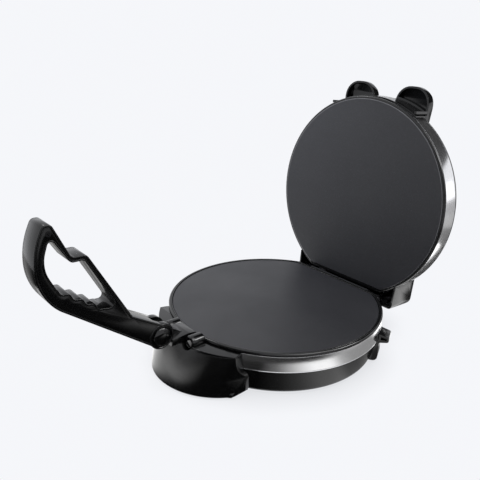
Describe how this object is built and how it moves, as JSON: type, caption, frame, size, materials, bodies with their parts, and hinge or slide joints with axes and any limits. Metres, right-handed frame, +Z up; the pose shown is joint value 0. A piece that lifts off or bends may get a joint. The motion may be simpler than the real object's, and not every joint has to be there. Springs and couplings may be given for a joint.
{
  "type": "electric roti maker",
  "caption": "Electric roti maker: round heated non-stick plates in a steel-banded base and hinged lid, with a swing-over press lever, a finger grip and a front panel.",
  "frame": {"origin": "centre of the lower cooking face", "axes": "+Z up out of the lower cooking face, +Y from the press lever at the front to the hinge at the back, +X to the right seen from the front"},
  "size_m": [0.316, 0.5858, 0.3706],
  "materials": {
    "housing_plastic": "glossy black moulding",
    "lever_plastic": "glossy black moulding with satin sides",
    "trim_plastic": "high-gloss black",
    "polished_band": "polished stainless steel",
    "nonstick_plate": "matte speckled non-stick coating",
    "heater_steel": "dull oxidised tube",
    "shield_aluminium": "mill finish sheet",
    "control_ceramic": "cream ceramic and plastic",
    "black_rubber": "matte rubber",
    "screw_steel": "zinc plated",
    "hinge_steel": "plated steel",
    "red_lens": "clear tinted lens",
    "green_lens": "clear tinted lens"
  },
  "bodies": {
    "base": {"base_pan": "housing_plastic", "base_band": "polished_band", "base_rim": "housing_plastic", "lower_plate": "nonstick_plate", "lower_heater": "heater_steel", "lower_heat_shield": "shield_aluminium", "lower_thermostat": "control_ceramic", "thermal_fuse": "control_ceramic", "terminal_block": "control_ceramic", "cord_gland": "black_rubber", "rubber_feet": "black_rubber", "base_screws": "screw_steel", "side_lug_left": "housing_plastic", "side_lug_right": "housing_plastic", "front_panel": "housing_plastic", "lever_bracket": "housing_plastic", "bracket_screws": "screw_steel", "lid_peg_left": "trim_plastic", "lid_peg_right": "trim_plastic", "hinge_leaf_left": "hinge_steel", "hinge_leaf_right": "hinge_steel", "leaf_screws": "screw_steel"},
    "lever": {"lever_pin": "hinge_steel", "lever_cap_left": "trim_plastic", "lever_cap_right": "trim_plastic", "lever_shell_left": "lever_plastic", "lever_shell_right": "lever_plastic", "lever_strap": "hinge_steel", "lever_screws": "screw_steel"},
    "lid": {"lid_rim": "housing_plastic", "lid_band": "polished_band", "lid_cover": "housing_plastic", "hinge_housing": "housing_plastic", "lid_ear_left": "housing_plastic", "lid_ear_right": "housing_plastic", "upper_plate": "nonstick_plate", "upper_heater": "heater_steel", "upper_heat_shield": "shield_aluminium", "upper_thermostat": "control_ceramic", "lid_screws": "screw_steel", "hinge_arm_left": "hinge_steel", "hinge_arm_right": "hinge_steel", "hinge_pin": "hinge_steel", "power_lamp": "red_lens", "ready_lamp": "green_lens"}
  },
  "joints": [
    {"name": "lid_hinge", "type": "hinge", "parent": "base", "child": "lid", "pos_m": [0, 0.1437, -0.011], "axis": [1, 0, 0], "range_deg": [0, 94]},
    {"name": "lever_swing", "type": "hinge", "parent": "base", "child": "lever", "pos_m": [0, -0.2085, 0.015], "axis": [-1, 0, 0], "range_deg": [0, 107]}
  ]
}
